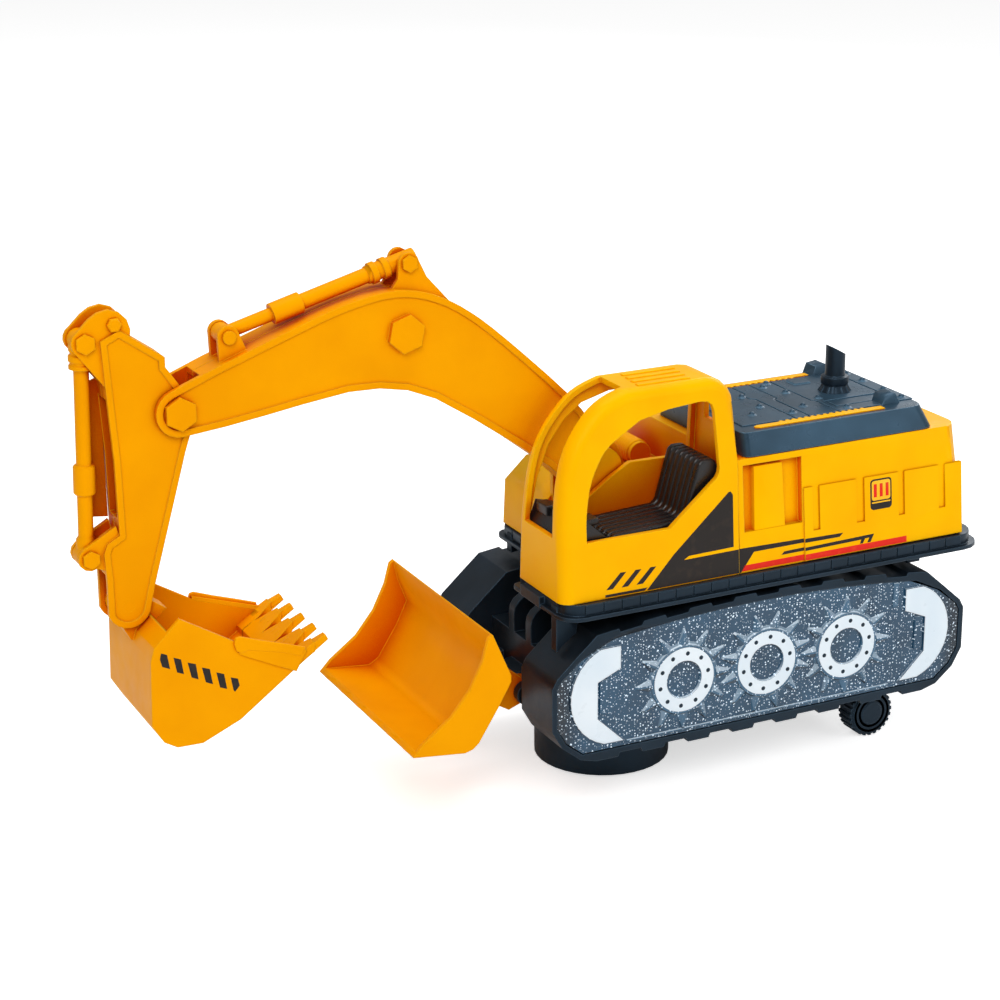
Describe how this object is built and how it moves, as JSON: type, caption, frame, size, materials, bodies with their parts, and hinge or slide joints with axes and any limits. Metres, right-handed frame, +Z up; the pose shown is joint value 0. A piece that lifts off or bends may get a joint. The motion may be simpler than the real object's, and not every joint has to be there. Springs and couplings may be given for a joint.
{
  "type": "toy excavator",
  "caption": "Plastic toy excavator with geared clear track panels, a cab, a posable digging arm with bucket, a tilting front shovel and a hidden battery drive.",
  "frame": {"origin": "on the ground, under the middle of the whole toy's length and width", "axes": "+X to the rear, +Y to the side without the cab, +Z up; the digging arm and the shovel point to -X"},
  "size_m": [0.3876, 0.1126, 0.2336],
  "materials": {
    "yellow": "satin moulded",
    "orange": "satin moulded",
    "black": "moulded",
    "clear": "clear with glitter",
    "steel": "plain",
    "brass": "plain",
    "nylon": "moulded",
    "board": "lacquered",
    "red": "wire insulation",
    "lead_yellow": "wire insulation"
  },
  "bodies": {
    "base": {"chassis": "black", "bottom_plate": "black", "battery_door": "black", "battery_door_screw": "steel", "battery_1": "steel", "battery_2": "steel", "battery_3": "steel", "plate_screw_1": "steel", "plate_screw_2": "steel", "plate_screw_3": "steel", "plate_screw_4": "steel", "track_shell_left": "black", "track_shell_right": "black", "side_panel_left": "clear", "side_panel_right": "clear", "motor": "steel", "switch_body": "steel", "speaker": "black", "circuit_board": "board", "lamp_left_1": "nylon", "lamp_left_2": "nylon", "lamp_right_1": "nylon", "lamp_right_2": "nylon", "red_lead_left": "red", "red_lead_right": "red", "yellow_lead_left": "lead_yellow", "yellow_lead_right": "lead_yellow", "platform": "black", "body_shell": "yellow", "cab_console": "black", "seat": "black", "hood": "black", "exhaust_pipe": "black", "boom_pin": "steel", "shovel_pin": "steel"},
    "boom": {"boom_half_left": "orange", "boom_half_right": "orange", "arm_cylinder": "orange", "arm_cylinder_pin_front": "orange", "arm_cylinder_pin_rear": "orange", "stick_pin": "orange"},
    "stick": {"stick_half_left": "orange", "stick_half_right": "orange", "stick_cylinder": "orange", "stick_cylinder_pin_top": "orange", "stick_cylinder_pin_foot": "orange", "bucket_pin": "steel"},
    "bucket": {"bucket": "orange"},
    "shovel": {"shovel": "orange"},
    "turntable": {"turntable": "nylon"},
    "drive_wheels": {"drive_axle": "steel", "drive_wheel_left": "black", "drive_wheel_right": "black"},
    "centre_gear": {"centre_gear": "nylon"},
    "motor_pinion": {"motor_pinion": "brass"},
    "rear_wheels": {"rear_axle": "steel", "rear_wheel_left": "black", "rear_wheel_right": "black"},
    "switch_knob": {"switch_knob": "black"}
  },
  "joints": [
    {"name": "boom_lift", "type": "hinge", "parent": "base", "child": "boom", "pos_m": [0.0271, 0, 0.134], "axis": [0, 1, 0], "range_deg": [-14, 22]},
    {"name": "stick_swing", "type": "hinge", "parent": "boom", "child": "stick", "pos_m": [-0.1517, 0, 0.182], "axis": [0, 1, 0], "range_deg": [-22, 25]},
    {"name": "bucket_curl", "type": "hinge", "parent": "stick", "child": "bucket", "pos_m": [-0.1754, 0, 0.107], "axis": [0, 1, 0], "range_deg": [-35, 60]},
    {"name": "shovel_tilt", "type": "hinge", "parent": "base", "child": "shovel", "pos_m": [-0.0104, 0, 0.043], "axis": [0, 1, 0], "range_deg": [-25, 20]},
    {"name": "turntable_swivel", "type": "hinge", "parent": "base", "child": "turntable", "pos_m": [0.035, 0, 0.0215], "axis": [0, 0, 1], "continuous": true},
    {"name": "drive_spin", "type": "hinge", "parent": "turntable", "child": "drive_wheels", "pos_m": [0.035, 0, 0.009], "axis": [0, 1, 0], "continuous": true},
    {"name": "centre_gear_spin", "type": "hinge", "parent": "base", "child": "centre_gear", "pos_m": [0.035, 0, 0.0453], "axis": [0, 0, 1], "continuous": true},
    {"name": "motor_spin", "type": "hinge", "parent": "base", "child": "motor_pinion", "pos_m": [0.0424, 0, 0.0482], "axis": [1, 0, 0], "continuous": true},
    {"name": "rear_wheels_spin", "type": "hinge", "parent": "base", "child": "rear_wheels", "pos_m": [0.1486, 0, 0.011], "axis": [0, 1, 0], "continuous": true},
    {"name": "power_switch", "type": "slide", "parent": "base", "child": "switch_knob", "axis": [1, 0, 0], "range_m": [0, 0.004]}
  ],
  "couplings": [
    {"joint": "centre_gear_spin", "follows": "drive_spin", "ratio": 1.6},
    {"joint": "motor_spin", "follows": "drive_spin", "ratio": -4.8}
  ]
}
